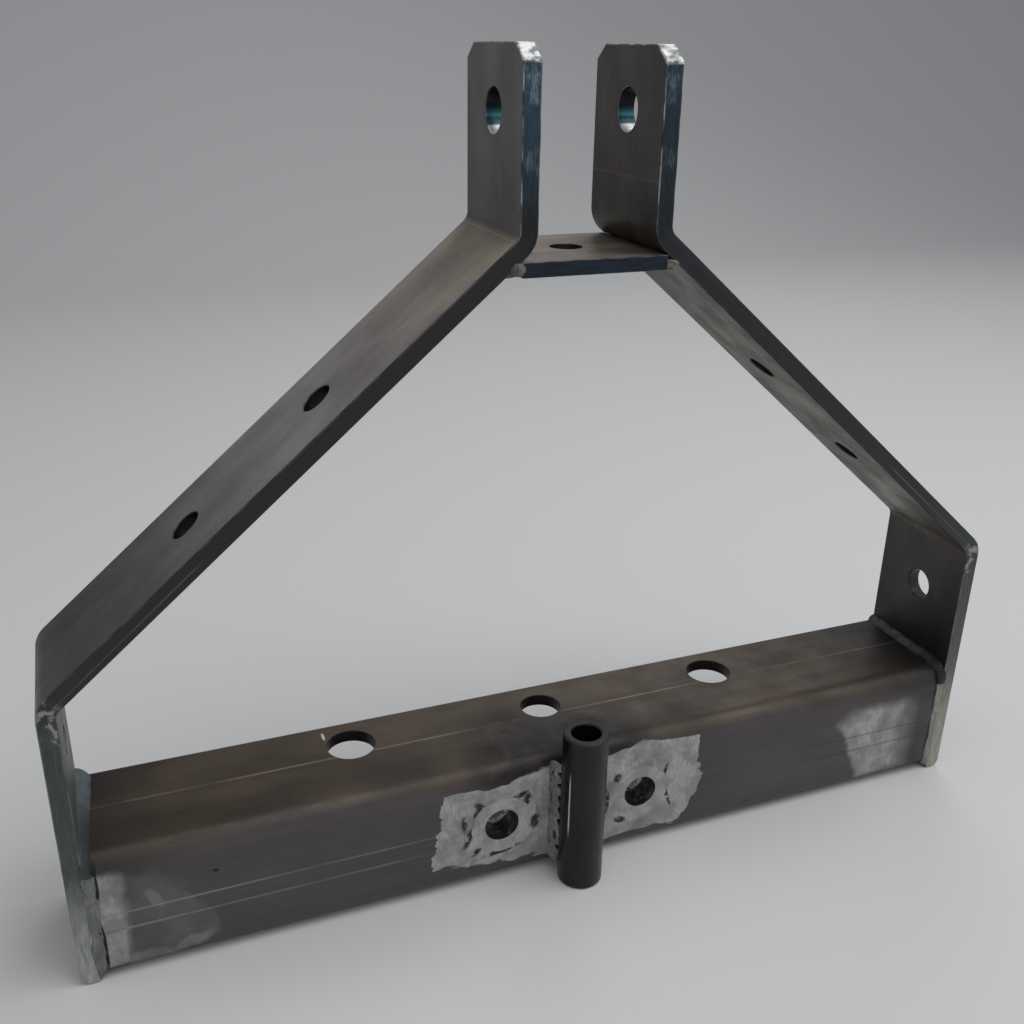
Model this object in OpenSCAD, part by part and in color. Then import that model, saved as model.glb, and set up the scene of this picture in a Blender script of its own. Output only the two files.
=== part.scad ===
// Sleeve hitch adapter: a welded A-frame that hangs on a small three-point hitch
// and carries a vertical pivot sleeve with two sway set-bolt bushings beside it.
// Millimetres. X runs across the frame, Y points towards the tractor, Z is up.
// The origin is on the pivot sleeve's axis, in the plane that the frame stands on.

/* [Side bars] */
// Width of the flat bar, front to back
bar_w = 63.5; // [58:0.5:76]
// Thickness of the flat bar
bar_t = 7.94; // [6:0.1:10]
// Inside radius of both bends
bend_r = 6; // [3:0.5:12]
// Height of the lower bend's outer corner
lower_bend_h = 143; // [130:1:165]
// Height of the upper bend's outer corner
upper_bend_h = 316.5; // [290:0.5:332]
// Height of the ears' tops
frame_h = 388; // [370:1:410]
// Corner clip of the ears, along the width
ear_clip_w = 8; // [3:0.5:10]
// Corner clip of the ears, along the height
ear_clip_h = 6; // [3:0.5:10]
// Rounding of each leg's outer bottom edge
foot_r = 5; // [2:0.5:5.5]

/* [Cross channel] */
// Length of the channel, which sets the gap between the legs
channel_len = 457.2; // [420:1:500]
// Height of the channel
channel_h = 66.7; // [60:0.1:72]
// Wall of the channel
channel_wall = 6.35; // [4.5:0.05:7.5]
// Outer radius of the channel's two corners
channel_r = 11; // [7.7:0.1:14]

/* [Tie plate] */
// Gap between the ears
ear_gap = 52.4; // [46:0.2:60]
// Thickness of the tie plate
plate_t = 6.35; // [4.5:0.05:8]
// Drop of the tie plate's top below the upper bend's outer corner
plate_drop = 9.5; // [9.4:0.1:14]

/* [Holes] */
// Hole for the top link's pin
top_pin_d = 17.5; // [16:0.1:20]
// Top link hole's distance below the ears' tops
top_pin_drop = 25.4; // [20:0.1:32]
// Hole for each lower link's pin
lower_pin_d = 16.7; // [16:0.1:22]
// Height of the lower link holes
lower_pin_h = 106; // [95:0.1:115]
// Accessory holes in the slanted arms and the tie plate
accessory_d = 14.3; // [10:0.1:16]
// First arm hole's distance up the slope from the lower bend's corner
arm_hole_1 = 88; // [75:1:100]
// Second arm hole's distance up the slope from the lower bend's corner
arm_hole_2 = 164; // [140:1:190]
// Outer pair of holes in the channel's top flange
outer_hole_d = 23.8; // [19:0.1:26]
// Distance of each outer hole from the middle
outer_hole_x = 101.6; // [80:0.2:130]
// Middle hole in the channel's top flange
middle_hole_d = 20.6; // [16:0.1:24]
// Set-back of the top flange's holes from the channel's front face
flange_hole_back = 44.45; // [40:0.05:46]

/* [Pivot sleeve] */
// Outside diameter of the sleeve
sleeve_od = 22.2; // [20:0.1:26]
// Bore of the sleeve
sleeve_bore = 14.3; // [12.7:0.1:16]
// Length of the sleeve
sleeve_len = 85.7; // [70:0.1:95]

/* [Set-bolt bushings] */
// Outside diameter of each bushing
bushing_od = 31.75; // [28:0.05:34]
// Threaded bore of each bushing, at the thread's crests
bushing_bore = 17.5; // [13:0.1:19]
// Length of each bushing
bushing_len = 15.9; // [12:0.1:22]
// Distance of each bushing from the middle
bushing_x = 38.1; // [36:0.1:55]

/* [Welds] */
// Leg of the fillets between legs and channel
fillet = 5; // [3:0.1:6]
// Width of the low bead over each flush front seam
seam_w = 8; // [5:0.1:12]
// Height of the low bead over each flush front seam
seam_h = 1.2; // [0.6:0.1:2]
// Width of the groove weld around each bushing
ring_w = 2.8; // [1.5:0.1:3.5]
// Depth of the groove weld around each bushing
ring_depth = 4; // [2:0.1:4.4]
// Reach of the sleeve's beads over the channel, past the sleeve's side
sleeve_bead = 3; // [1:0.1:4]

/* [Clearances] */
// Gap around each bushing in its hole
bushing_gap = 0.15; // [0.05:0.05:0.4]
// Gap between a weld and a face that it only lies beside
weld_gap = 0.02; // [0:0.01:0.1]
// Gap between the tie plate's top edge and the arms
plate_gap = 0.1; // [0.05:0.05:0.5]

/* [Hidden] */
ROUND = 64;
bend_steps = 10;
corner_steps = 8;
SWEEP = 4 * corner_steps;
front_y = sleeve_od / 2;
back_y = front_y + bar_w;
mid_y = front_y + bar_w / 2;
half_in = channel_len / 2;
half_out = half_in + bar_t;
ear_in = ear_gap / 2;
ear_out = ear_in + bar_t;
slope = atan2(upper_bend_h - lower_bend_h, half_out - ear_out);
turn = 90 - slope;
outside_r = bend_r + bar_t;
lower_centre = [half_out - outside_r, lower_bend_h - outside_r * tan(turn / 2)];
upper_centre = [ear_out + bend_r, upper_bend_h + bend_r * tan(turn / 2)];
inner_corner_h = upper_bend_h - bar_t * tan(turn / 2);
plate_top = upper_bend_h - plate_drop;
plate_bottom = plate_top - plate_t;
weld_wrap = 67.5;
flat_low = channel_r;
flat_high = channel_h - channel_r;
bushing_h = channel_h / 2;

// Half the distance between the arms' inner faces at a height below the upper bend
function arm_inner_x(h) = ear_in + (inner_corner_h - h) / tan(slope);

// Points of an arc in the plane, from one angle to the other
function arc(centre, r, from, to, steps) =
    [for (i = [0 : steps]) let (a = from + (to - from) * i / steps) centre + r * [cos(a), sin(a)]];

// The bar's edge: up the outer face, over the ear and down the inner face
function bar_outline() = concat(
    arc([half_out - foot_r, foot_r], foot_r, -90, 0, corner_steps),
    arc(lower_centre, outside_r, 0, turn, bend_steps),
    arc(upper_centre, -bend_r, turn, 0, bend_steps),
    [[ear_out, frame_h], [ear_in, frame_h]],
    arc(upper_centre, -outside_r, 0, turn, bend_steps),
    arc(lower_centre, bend_r, turn, 0, bend_steps),
    [[half_in, 0]]);

// The channel's section, open towards the tractor
function channel_outline() = concat(
    [[back_y, channel_h]],
    arc([front_y + channel_r, flat_high], channel_r, 90, 180, corner_steps),
    arc([front_y + channel_r, flat_low], channel_r, 180, 270, corner_steps),
    [[back_y, 0], [back_y, channel_wall]],
    arc([front_y + channel_r, flat_low], channel_r - channel_wall, 270, 180, corner_steps),
    arc([front_y + channel_r, flat_high], channel_r - channel_wall, 180, 90, corner_steps),
    [[back_y, channel_h - channel_wall]]);

// Draws its children on the right, or mirrored on the left
module on_side(side) {
    mirror([side < 0 ? 1 : 0, 0, 0]) children();
}

// A drill along X through a bar standing upright
module cross_drill(d, h) {
    translate([0, mid_y, h]) rotate([0, 90, 0]) cylinder(d = d, h = half_out + bar_t, $fn = ROUND);
}

// A drill square to the slanted arm
module arm_drill(along) {
    translate([half_out - along * cos(slope), mid_y, lower_bend_h + along * sin(slope)])
        rotate([0, slope, 0])
            cylinder(d = accessory_d, h = 4 * bar_t, center = true, $fn = ROUND);
}

// One clipped corner of an ear
module ear_clip(y, turn_y) {
    translate([ear_in - bar_t, y, frame_h]) rotate([90, 0, 90])
        linear_extrude(3 * bar_t)
            polygon([[0, -ear_clip_h], [turn_y * ear_clip_w, 0], [turn_y * ear_clip_w, 1], [-turn_y, 1], [-turn_y, -ear_clip_h]]);
}

// Flat bar bent twice: leg, slanted arm and ear
module side_bar() {
    color("#4a4648")
        difference() {
            translate([0, back_y, 0]) rotate([90, 0, 0]) linear_extrude(bar_w) polygon(bar_outline());
            cross_drill(top_pin_d, frame_h - top_pin_drop);
            translate([half_in - bar_t, 0, 0]) cross_drill(lower_pin_d, lower_pin_h);
            arm_drill(arm_hole_1);
            arm_drill(arm_hole_2);
            ear_clip(front_y, 1);
            ear_clip(back_y, -1);
        }
}

module left_side_bar() {
    on_side(-1) side_bar();
}

module right_side_bar() {
    on_side(1) side_bar();
}

// Upright hole in the channel's top flange
module flange_drill(x, d) {
    translate([x, front_y + flange_hole_back, channel_h - 2 * channel_wall])
        cylinder(d = d, h = 3 * channel_wall, $fn = ROUND);
}

// Bevelled hole that takes a bushing and its groove weld
module bushing_seat(x) {
    translate([x, front_y, bushing_h]) rotate([-90, 0, 0]) {
        translate([0, 0, -1]) cylinder(d = bushing_od + 2 * bushing_gap, h = channel_wall + 2, $fn = ROUND);
        bevel();
    }
}

// The bevel that the groove weld fills, wide end at the channel's front face
module bevel() {
    cylinder(r1 = bushing_od / 2 + ring_w, r2 = bushing_od / 2 + bushing_gap, h = ring_depth, $fn = ROUND);
}

// Formed channel between the legs
module cross_channel() {
    color("#4b443d")
        difference() {
            translate([-half_in, 0, 0]) rotate([90, 0, 90]) linear_extrude(channel_len) polygon(channel_outline());
            flange_drill(-outer_hole_x, outer_hole_d);
            flange_drill(0, middle_hole_d);
            flange_drill(outer_hole_x, outer_hole_d);
            bushing_seat(-bushing_x);
            bushing_seat(bushing_x);
        }
}

// Short plate that ties the arms together under the ears
module tie_plate() {
    color("#4f4a4a")
        difference() {
            translate([plate_gap - arm_inner_x(plate_top), front_y, plate_bottom])
                cube([2 * (arm_inner_x(plate_top) - plate_gap), bar_w, plate_t]);
            translate([0, mid_y, plate_bottom - 1]) cylinder(d = accessory_d, h = plate_t + 2, $fn = ROUND);
        }
}

// Upright tube that the hitch pin drops through
module pivot_sleeve() {
    color("#3f3d40")
        difference() {
            cylinder(d = sleeve_od, h = sleeve_len, $fn = ROUND);
            translate([0, 0, -1]) cylinder(d = sleeve_bore, h = sleeve_len + 2, $fn = ROUND);
        }
}

// Threaded bushing let into the channel's front wall, flush with it
module set_bushing(x) {
    color("#6d6b69")
        translate([x, front_y, bushing_h]) rotate([-90, 0, 0])
            difference() {
                cylinder(d = bushing_od, h = bushing_len, $fn = ROUND);
                translate([0, 0, -1]) cylinder(d = bushing_bore, h = bushing_len + 2, $fn = ROUND);
            }
}

module left_set_bushing() {
    set_bushing(-bushing_x);
}

module right_set_bushing() {
    set_bushing(bushing_x);
}

// Fillet section against a leg: root at the origin, slightly crowned face
function fillet_section(leg) = [[0, 0], [-leg, 0], [-leg * 0.58, leg * 0.5], [-leg * 0.22, leg * 0.85], [0, leg]];

// Fillet along the top flange and down over the front corner
module leg_top_weld() {
    color("#5d625f") {
        translate([half_in, back_y, channel_h + weld_gap]) rotate([90, 0, 0])
            linear_extrude(bar_w - channel_r) polygon(fillet_section(fillet));
        intersection() {
            translate([half_in, front_y + channel_r, flat_high]) rotate([0, -90, 180])
                rotate_extrude(angle = weld_wrap, $fn = SWEEP)
                    polygon([for (p = fillet_section(fillet)) [channel_r + weld_gap + p[1], p[0]]]);
            translate([half_in - 2 * fillet, front_y, 0]) cube([4 * fillet, bar_w, 2 * channel_h]);
        }
    }
}

module left_leg_top_weld() {
    on_side(-1) leg_top_weld();
}

module right_leg_top_weld() {
    on_side(1) leg_top_weld();
}

// Low ground bead over the flush seam between leg and channel
module leg_front_weld() {
    color("#6b6e6c")
        translate([half_in, front_y - weld_gap, flat_low])
            linear_extrude(flat_high - flat_low)
                polygon([[-seam_w / 2, 0], [-seam_w / 4, -seam_h * 0.8], [0, -seam_h],
                         [seam_w / 4, -seam_h * 0.8], [seam_w / 2, 0]]);
}

module left_leg_front_weld() {
    on_side(-1) leg_front_weld();
}

module right_leg_front_weld() {
    on_side(1) leg_front_weld();
}

// Fillet inside the channel, along the bottom flange
module leg_inside_weld() {
    color("#5d625f")
        translate([half_in, back_y, channel_wall]) rotate([90, 0, 0])
            linear_extrude(bar_w - channel_r) polygon(fillet_section(fillet));
}

module left_leg_inside_weld() {
    on_side(-1) leg_inside_weld();
}

module right_leg_inside_weld() {
    on_side(1) leg_inside_weld();
}

// Groove weld that fills the wedge between the tie plate's end and the arm
module tie_weld() {
    color("#6b6e6c")
        translate([0, back_y, 0]) rotate([90, 0, 0])
            linear_extrude(bar_w)
                polygon([[arm_inner_x(plate_top) - plate_gap, plate_bottom],
                         [arm_inner_x(plate_bottom), plate_bottom],
                         [arm_inner_x(plate_top - 1), plate_top - 1],
                         [arm_inner_x(plate_top) - plate_gap, plate_top - 1]]);
}

module left_tie_weld() {
    on_side(-1) tie_weld();
}

module right_tie_weld() {
    on_side(1) tie_weld();
}

// Upright bead in the corner between the sleeve and the channel's front face
module sleeve_weld() {
    toe = sleeve_od / 2 + sleeve_bead;
    root = sleeve_od / 7;
    color("#5d625f")
        translate([0, 0, flat_low])
            linear_extrude(flat_high - flat_low)
                difference() {
                    polygon([[root, front_y - weld_gap], [toe, front_y - weld_gap],
                             [toe - 0.6 * sleeve_bead, front_y - sleeve_bead * 1.2],
                             [sleeve_od * 0.45, front_y * 0.35], [root, front_y * 0.35]]);
                    circle(d = sleeve_od, $fn = ROUND);
                }
}

module left_sleeve_weld() {
    on_side(-1) sleeve_weld();
}

module right_sleeve_weld() {
    on_side(1) sleeve_weld();
}

// Ring of weld that fills the bevel around a bushing, ground flush
module bushing_weld(x) {
    color("#77777a")
        translate([x, front_y, bushing_h]) rotate([-90, 0, 0])
            difference() {
                bevel();
                translate([0, 0, -1]) cylinder(d = bushing_od, h = ring_depth + 2, $fn = ROUND);
            }
}

module left_bushing_weld() {
    bushing_weld(-bushing_x);
}

module right_bushing_weld() {
    bushing_weld(bushing_x);
}

left_side_bar();
right_side_bar();
cross_channel();
tie_plate();
pivot_sleeve();
left_set_bushing();
right_set_bushing();
left_leg_top_weld();
right_leg_top_weld();
left_leg_front_weld();
right_leg_front_weld();
left_leg_inside_weld();
right_leg_inside_weld();
left_tie_weld();
right_tie_weld();
left_sleeve_weld();
right_sleeve_weld();
left_bushing_weld();
right_bushing_weld();
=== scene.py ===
"""Sleeve hitch adapter: rounds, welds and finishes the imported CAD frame. Metres, in the frame's own axes."""

import bmesh
import bpy
import numpy as np
from mathutils import Matrix, Vector


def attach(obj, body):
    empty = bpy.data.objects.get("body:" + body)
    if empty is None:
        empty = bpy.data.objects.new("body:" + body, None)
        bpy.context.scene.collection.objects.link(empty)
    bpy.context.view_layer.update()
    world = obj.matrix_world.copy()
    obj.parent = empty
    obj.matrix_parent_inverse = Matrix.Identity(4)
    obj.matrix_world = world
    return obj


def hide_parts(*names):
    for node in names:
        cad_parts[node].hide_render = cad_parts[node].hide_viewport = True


bl_info = {
    "name": "Sleeve hitch adapter",
    "version": (1, 0, 0),
    "blender": (4, 5, 0),
    "location": "3D View > Sidebar > Hitch",
    "description": "Rounds, welds and finishes a sleeve hitch adapter over its CAD frame",
    "category": "Object",
}

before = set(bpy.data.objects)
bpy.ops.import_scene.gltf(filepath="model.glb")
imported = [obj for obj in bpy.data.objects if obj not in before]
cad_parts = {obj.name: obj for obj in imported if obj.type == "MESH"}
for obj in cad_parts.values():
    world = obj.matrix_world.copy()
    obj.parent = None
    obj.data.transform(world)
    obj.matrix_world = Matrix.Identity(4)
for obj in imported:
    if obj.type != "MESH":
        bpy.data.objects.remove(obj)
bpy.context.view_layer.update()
MM = 0.001
LEFT, RIGHT = -1, 1
# Drilled holes, mm. In the ears: below the top, radius. In the legs: height, radius. Up the arms: distances along
# the slope; and in the channel's flange: distance behind its front, then x, radius. Bolts' radius, plate's height
PIN_DROP, PIN_R, LIFT_HEIGHT, LIFT_R = 25.4, 8.75, 106, 8.35
ARM_HOLES, BOLT_R, PLATE_HEIGHT, WALL = (88, 164), 7.15, 304, 6.35
FLANGE_BACK, FLANGE_HOLES = 44.45, ((-101.6, 11.9), (0, 10.3), (101.6, 11.9))
# Voids left in the sanded welds round the bushings, mm: x, z, two radii, turn
VOIDS = ((-49.0, 45.7, 4.4, 2.2, 0.9), (-51.0, 43, 2.0, 3.4, -0.2), (-29.5, 48, 5.4, 1.5, -0.35),
         (-25.0, 45, 2.0, 3.8, 0.3), (-20.5, 31, 2.6, 4.2, 0.2), (-38, 17.6, 9.5, 1.5, -0.16),
         (-55.2, 30.1, 1.7, 7.0, 0.35), (-57.5, 38, 1.5, 5, -0.1),
         (-51, 21, 1.5, 4, 0.7), (24.5, 44.8, 2.0, 2.6, 0.3), (18.5, 31, 1.6, 8.5, 0.05), (27, 18.6, 3.2, 2.0, 0.3),
         (54.0, 27, 0.9, 8.0, -0.35), (52, 43, 0.9, 4.5, 0.3))


def linear(code):
    """Linear colour of an sRGB hex value, with full alpha."""
    part = np.array([int(code[i:i + 2], 16) for i in (0, 2, 4)]) / 255
    return (*np.where(part <= 0.04045, part / 12.92, ((part + 0.055) / 1.055) ** 2.4).tolist(), 1.0)


def length(name, description, default, unit="LENGTH"):
    """A size in metres that a user may change."""
    return bpy.props.FloatProperty(name=name, description=description, default=default, unit=unit, precision=5)


def tone(name, description, code):
    """A finish colour that a user may change."""
    return bpy.props.FloatVectorProperty(name=name, description=description, default=linear(code), size=4,
                                         min=0, max=1, subtype="COLOR")


class HitchSizes(bpy.types.PropertyGroup):
    """Sizes of the steel and of its welds."""
    bar_thickness: length("Bar thickness", "Thickness of the flat bar", 7.94 * MM)
    bar_width: length("Bar width", "Width of the flat bar, front to back", 63.5 * MM)
    front: length("Front face", "Distance of the channel's front face from the pivot's axis", 11.1 * MM)
    half_length: length("Half length", "Half the length of the cross channel", 228.6 * MM)
    channel_height: length("Channel height", "Height of the cross channel", 66.7 * MM)
    channel_corner: length("Channel corner", "Outer radius of the channel's corners", 11 * MM)
    ear_inside: length("Ear inside", "Half the gap between the ears", 26.2 * MM)
    lower_bend: length("Lower bend", "Height of the lower bend's outer corner", 143 * MM)
    upper_bend: length("Upper bend", "Height of the upper bend's outer corner", 316.5 * MM)
    bend_radius: length("Bend radius", "Inside radius of both bends", 6 * MM)
    top: length("Top", "Height of the ears' tops", 388 * MM)
    bar_edge: length("Bar edge", "Rounding of the bar's rolled edges", 0.7 * MM)
    cut_edge: length("Cut edge", "Rounding of the sawn and drilled edges", 0.45 * MM)
    fillet: length("Fillet", "Leg of the fillet welds", 5 * MM)
    ripple: length("Ripple", "Spacing of the ripples along a weld", 2.2 * MM)
    bushing_x: length("Bushing distance", "Distance of each bushing from the pivot's axis", 38.1 * MM)
    bushing_height: length("Bushing height", "Height of each bushing's axis", 33.35 * MM)


class HitchColours(bpy.types.PropertyGroup):
    """Colours of the steel, its welds and the floor."""
    brown: tone("Brown haze", "Rust haze on the bars' scale", "5a4c38")
    web: tone("Web scale", "Scale on the channel's web", "514d50")
    flange: tone("Flange scale", "Scale on the channel's flanges", "594d40")
    plate: tone("Plate scale", "Scale on the tie plate", "988c80")
    ground: tone("Ground steel", "Steel bared by the sanding disc", "bdbcb9")
    weld: tone("Weld metal", "Weld metal under its thin oxide", "727876")
    tube: tone("Drawn tube", "The pivot sleeve's drawn skin", "262427")
    floor: tone("Floor", "The paper that the part stands on", "d5d5d5")


def sizes():
    """The sizes in use."""
    return bpy.context.scene.hitch_sizes


def colours():
    """The colours in use."""
    return bpy.context.scene.hitch_colours


# Shapes


def show(mesh, name, material, slot, *nodes):
    """Puts a mesh into the scene as a finished piece that stands for CAD nodes."""
    piece = bpy.data.objects.new(name, mesh)
    bpy.context.scene.collection.objects.link(piece)
    mesh.materials.clear()
    mesh.materials.append(material)
    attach(piece, "root")
    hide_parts(*nodes)
    return piece


def points_of(mesh):
    """All of a mesh's points, one row each."""
    flat = np.empty(len(mesh.vertices) * 3, np.float32)
    mesh.vertices.foreach_get("co", flat)
    return flat.reshape(-1, 3).astype(float)


def write(mesh, name, values, kind="FLOAT"):
    """Writes one value or one vector for each point."""
    data = mesh.attributes.new(name, kind, "POINT").data
    data.foreach_set("value" if kind == "FLOAT" else "vector", np.ascontiguousarray(values, np.float32).ravel())


def unit(rows):
    """Each row divided by its own length."""
    return rows / np.linalg.norm(rows, axis=1, keepdims=True)


def rounded(node, rounding, segments=2):
    """A merged copy of a CAD node with every sharp edge rounded. Its attribute edge is 1 along the middle of each
    rounding, where no broad face touches: one whose area over its outline's length is more than a rounding's
    strip has."""
    work = bmesh.new()
    work.from_mesh(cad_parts[node].data)
    bmesh.ops.remove_doubles(work, verts=work.verts, dist=2e-6)
    bmesh.ops.dissolve_limit(work, angle_limit=0.004, verts=work.verts, edges=work.edges)
    mesh = bpy.data.meshes.new(node + "_merged")
    work.to_mesh(mesh)
    work.free()
    mesh.polygons.foreach_set("use_smooth", np.ones(len(mesh.polygons), bool))
    holder = bpy.data.objects.new(node + "_holder", mesh)
    bpy.context.scene.collection.objects.link(holder)
    edge = holder.modifiers.new("Rounding", "BEVEL")
    edge.width, edge.segments, edge.limit_method, edge.angle_limit = rounding, segments, "ANGLE", np.radians(32)
    edge.use_clamp_overlap = False
    flat = holder.modifiers.new("Flat faces", "WEIGHTED_NORMAL")
    flat.mode, flat.weight, flat.keep_sharp = "FACE_AREA", 50, False
    seen = holder.evaluated_get(bpy.context.evaluated_depsgraph_get())
    done = bpy.data.meshes.new_from_object(seen)
    bpy.data.objects.remove(holder)
    place = points_of(done)
    corner, pair = np.empty(len(done.loops), np.int32), np.empty(len(done.loops), np.int32)
    done.loops.foreach_get("vertex_index", corner)
    done.loops.foreach_get("edge_index", pair)
    ends = np.empty(len(done.edges) * 2, np.int32)
    done.edges.foreach_get("vertices", ends)
    span = np.linalg.norm(place[ends[::2]] - place[ends[1::2]], axis=1)
    area, count = np.empty(len(done.polygons), np.float32), np.empty(len(done.polygons), np.int32)
    done.polygons.foreach_get("area", area)
    done.polygons.foreach_get("loop_total", count)
    owner = np.repeat(np.arange(len(count)), count)
    broad = area / np.bincount(owner, span[pair]) > 0.45 * rounding
    worn = np.ones(len(place))
    worn[corner[broad[owner]]] = 0
    write(done, "edge", worn)
    return done


def drilled(mesh, holes, past=0.0, over=1e-9):
    """Writes the attribute bore: 1 on the wall of each hole, by the distance from the hole's axis, falling to 0
    over a distance that ends past its radius. Each hole is a centre, an axis, a radius and a reach each way."""
    place = points_of(mesh)
    bore = np.zeros(len(place))
    for centre, axis, radius, reach in holes:
        away = place - np.array(centre)
        along = away @ np.array(axis)
        apart = np.linalg.norm(away - along[:, None] * np.array(axis), axis=1)
        bore = np.maximum(bore, np.clip((radius + past - apart) / over, 0, 1) * (np.abs(along) < reach))
    write(mesh, "bore", bore)


def bar_path(place, side):
    """Unrolls the twice bent bar: each point's distance along the bar's middle line from its foot, its depth, and
    its offset from that line, outwards positive. On the straights these are products with the line's direction and
    normal, and on the bends the angle times the middle radius, and the distance from the bend's centre."""
    s = sizes()
    half, inner = s.bar_thickness / 2, s.bend_radius
    outer, middle = inner + s.bar_thickness, inner + s.bar_thickness / 2
    out_x, ear_x = s.half_length + 2 * half, s.ear_inside + 2 * half
    turn = np.pi / 2 - np.arctan2(s.upper_bend - s.lower_bend, out_x - ear_x)
    low = np.array([out_x - outer, s.lower_bend - outer * np.tan(turn / 2)])
    high = np.array([ear_x + inner, s.upper_bend + inner * np.tan(turn / 2)])
    normal, way = np.array([np.cos(turn), np.sin(turn)]), np.array([-np.sin(turn), np.cos(turn)])
    spot = np.stack([side * place[:, 0], place[:, 2]], axis=1)
    first, second = low + middle * normal, high - middle * normal
    run_low, run_arm = low[1], (second - first) @ way
    bend = middle * turn
    about_low, about_high = spot - low, high - spot
    angle_low = np.arctan2(about_low[:, 1], about_low[:, 0])
    angle_high = np.arctan2(about_high[:, 1], about_high[:, 0])
    on_arm = (spot - first) @ way
    where = [spot[:, 1] < low[1], (on_arm < 0) & (spot[:, 0] > low[0] * 0.9), on_arm <= run_arm,
             spot[:, 1] <= high[1]]
    along = np.select(where, [spot[:, 1], run_low + middle * angle_low, run_low + bend + on_arm,
                              run_low + bend + run_arm + middle * (turn - angle_high)],
                      run_low + 2 * bend + run_arm + spot[:, 1] - high[1])
    offset = np.select(where, [spot[:, 0] - s.half_length - half, np.linalg.norm(about_low, axis=1) - middle,
                               (spot - first) @ normal, middle - np.linalg.norm(about_high, axis=1)],
                       spot[:, 0] - s.ear_inside - half)
    return np.stack([along, place[:, 1], offset], axis=1)


def arm_point(along):
    """A point on the right arm's outer face, at a distance up the slope from the lower bend's corner."""
    s = sizes()
    out_x = s.half_length + s.bar_thickness
    slope = np.arctan2(s.upper_bend - s.lower_bend, out_x - s.ear_inside - s.bar_thickness)
    point = [out_x - along * np.cos(slope), s.front + s.bar_width / 2, s.lower_bend + along * np.sin(slope)]
    return np.array(point), np.array([np.sin(slope), 0, np.cos(slope)])


def skin(grid, name, looped=False):
    """A closed surface from rings of points: neighbouring rings join by quads, and each end closes on its mean, or
    the last ring joins the first."""
    rings, around = grid.shape[:2]
    i, j = np.meshgrid(np.arange(rings - (not looped)), np.arange(around), indexing="ij")
    k, n = (j + 1) % around, (i + 1) % rings
    quads = np.stack([i * around + j, i * around + k, n * around + k, n * around + j], -1).reshape(-1, 4)
    place = np.concatenate([grid.reshape(-1, 3), grid[0].mean(0)[None], grid[-1].mean(0)[None]])
    j = np.arange(around)
    k = (j + 1) % around
    start = np.stack([k, j, np.full(around, rings * around)], -1)
    last = (rings - 1) * around
    end = np.stack([last + j, last + k, np.full(around, rings * around + 1)], -1)
    mesh = bpy.data.meshes.new(name)
    if looped:
        mesh.from_pydata(grid.reshape(-1, 3).tolist(), [], quads.tolist())
    else:
        mesh.from_pydata(place.tolist(), [], quads.tolist() + start.tolist() + end.tolist())
    work = bmesh.new()
    work.from_mesh(mesh)
    bmesh.ops.recalc_face_normals(work, faces=work.faces)
    work.to_mesh(mesh)
    work.free()
    mesh.polygons.foreach_set("use_smooth", np.ones(len(mesh.polygons), bool))
    return mesh


def sway(steps, seed, fastest=11, waves=5):
    """A smooth random run between -1 and 1: a sum of sines with seeded phases and counts."""
    draw = np.random.default_rng(seed)
    t = np.linspace(0, 1, steps)[:, None]
    pace = draw.uniform(0.13 * fastest, fastest, waves)
    return (np.sin(2 * np.pi * (t * pace + draw.uniform(0, 1, waves))) / waves ** 0.5).sum(1).clip(-1, 1)


def bead(path, side, out, half, crown, sunk, seed, uneven=0.16, around=28, ripple_depth=0.16,
         drift=0.12, fastest=11, flush=None):
    """A weld bead. The section at each step is cos(a) times the half width sideways, and sin(a) times the crown
    outwards or times the sunk depth inwards. Half width and crown wander by smooth noise, and a ripple of the
    weld's pitch, its phase falling back from the crown to the toes, lifts the crown. Both ends round off by the
    square root of one less the squared distance into the last half width. Where the bead was dressed flush, a soft
    maximum, s log(1 + exp(d / s)), holds its front back to a plane. The attribute run is the distance along the
    weld, the cosine of the angle round it, and the ripple's height."""
    steps = len(path)
    half, crown = half * np.ones(steps), crown * np.ones(steps)
    walk = np.concatenate([[0], np.cumsum(np.linalg.norm(np.diff(path, axis=0), axis=1))])
    end = np.minimum(walk, walk[-1] - walk) / (0.8 * half)
    close = np.sqrt(1 - (1 - np.clip(end, 0.02, 1)) ** 2)
    wide = half * close * (1 + uneven * sway(steps, seed, fastest))
    tall = crown * close * (1 + 1.3 * uneven * sway(steps, seed + 1, fastest))
    a = np.linspace(0, 2 * np.pi, around, endpoint=False)[None, :]
    fallen = walk[:, None] - 0.9 * half[:, None] * (1 - np.sin(a))
    phase = (fallen + 0.5 * MM * sway(steps, seed + 2)[:, None]) / sizes().ripple
    wave = (0.5 + 0.5 * np.cos(2 * np.pi * phase)) ** 0.7 - 0.6
    lift = np.where(np.sin(a) > 0, np.sin(a) * (tall[:, None] + ripple_depth * MM * wave * close[:, None]),
                    np.sin(a) * (sunk * np.ones(steps) * close)[:, None])
    drift = drift * half * sway(steps, seed + 3, fastest)
    grid = (path[:, None] + side[:, None] * (np.cos(a) * wide[:, None] + drift[:, None])[..., None]
            + out[:, None] * lift[..., None])
    grid[..., 2] = np.maximum(grid[..., 2], 0.05 * MM)
    if flush is not None:
        soft = 0.25 * MM
        grid[..., 1] = flush + soft * np.logaddexp(0, (grid[..., 1] - flush) / soft)
    return grid, np.stack([np.broadcast_to(walk[:, None], lift.shape), np.broadcast_to(np.cos(a), lift.shape),
                           wave * np.ones_like(lift)], -1)


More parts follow.
